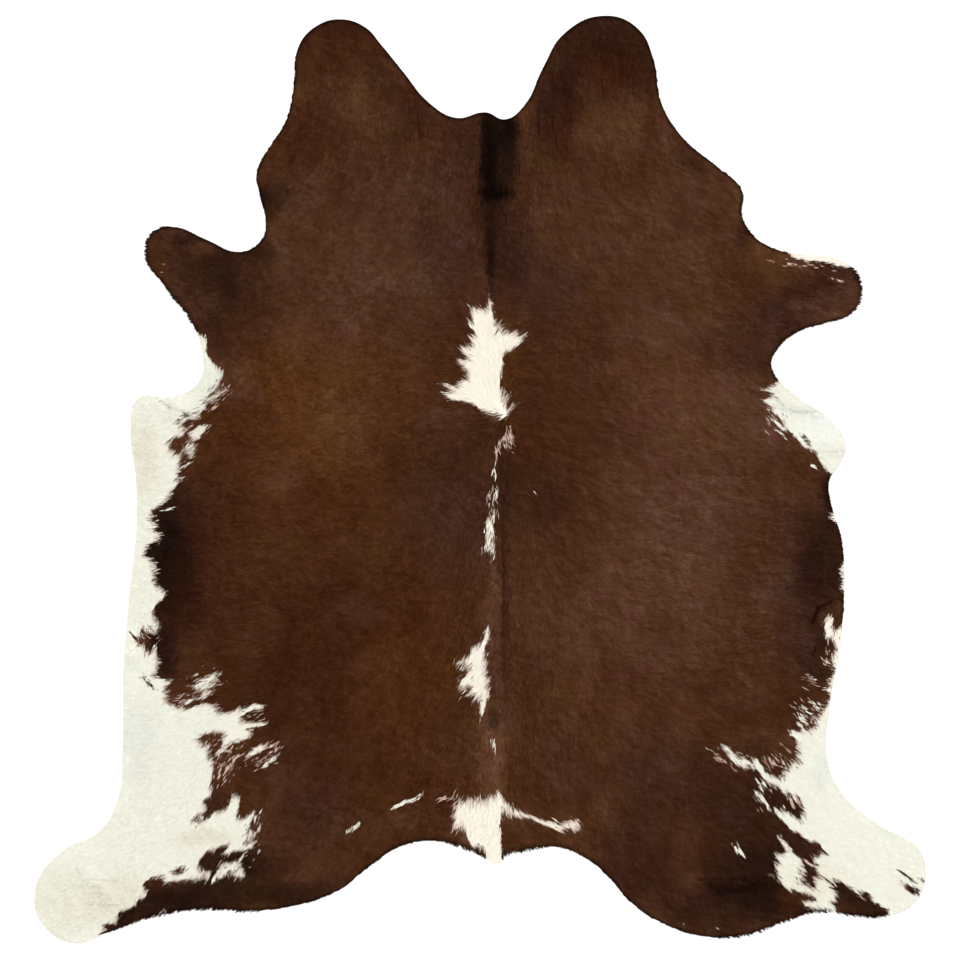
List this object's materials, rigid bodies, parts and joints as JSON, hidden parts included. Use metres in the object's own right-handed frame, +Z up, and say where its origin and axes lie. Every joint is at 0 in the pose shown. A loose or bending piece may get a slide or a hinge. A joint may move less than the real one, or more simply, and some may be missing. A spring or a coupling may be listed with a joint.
{
  "type": "cowhide rug",
  "caption": "Natural cowhide rug, one flat hide with the hair on, brown with cream patches, lying hair side up with its neck, legs and tail stub spread out.",
  "frame": {"origin": "on the floor, under the middle of the hide's box", "axes": "+Z up from the floor to the hair side, +Y from the tail towards the neck, +X to the right seen from above"},
  "size_m": [2.113, 2.2, 0.0094],
  "materials": {
    "hide": "short smooth hair, brown with cream patches"
  },
  "bodies": {
    "root": {"hide": "hide"}
  },
  "joints": []
}
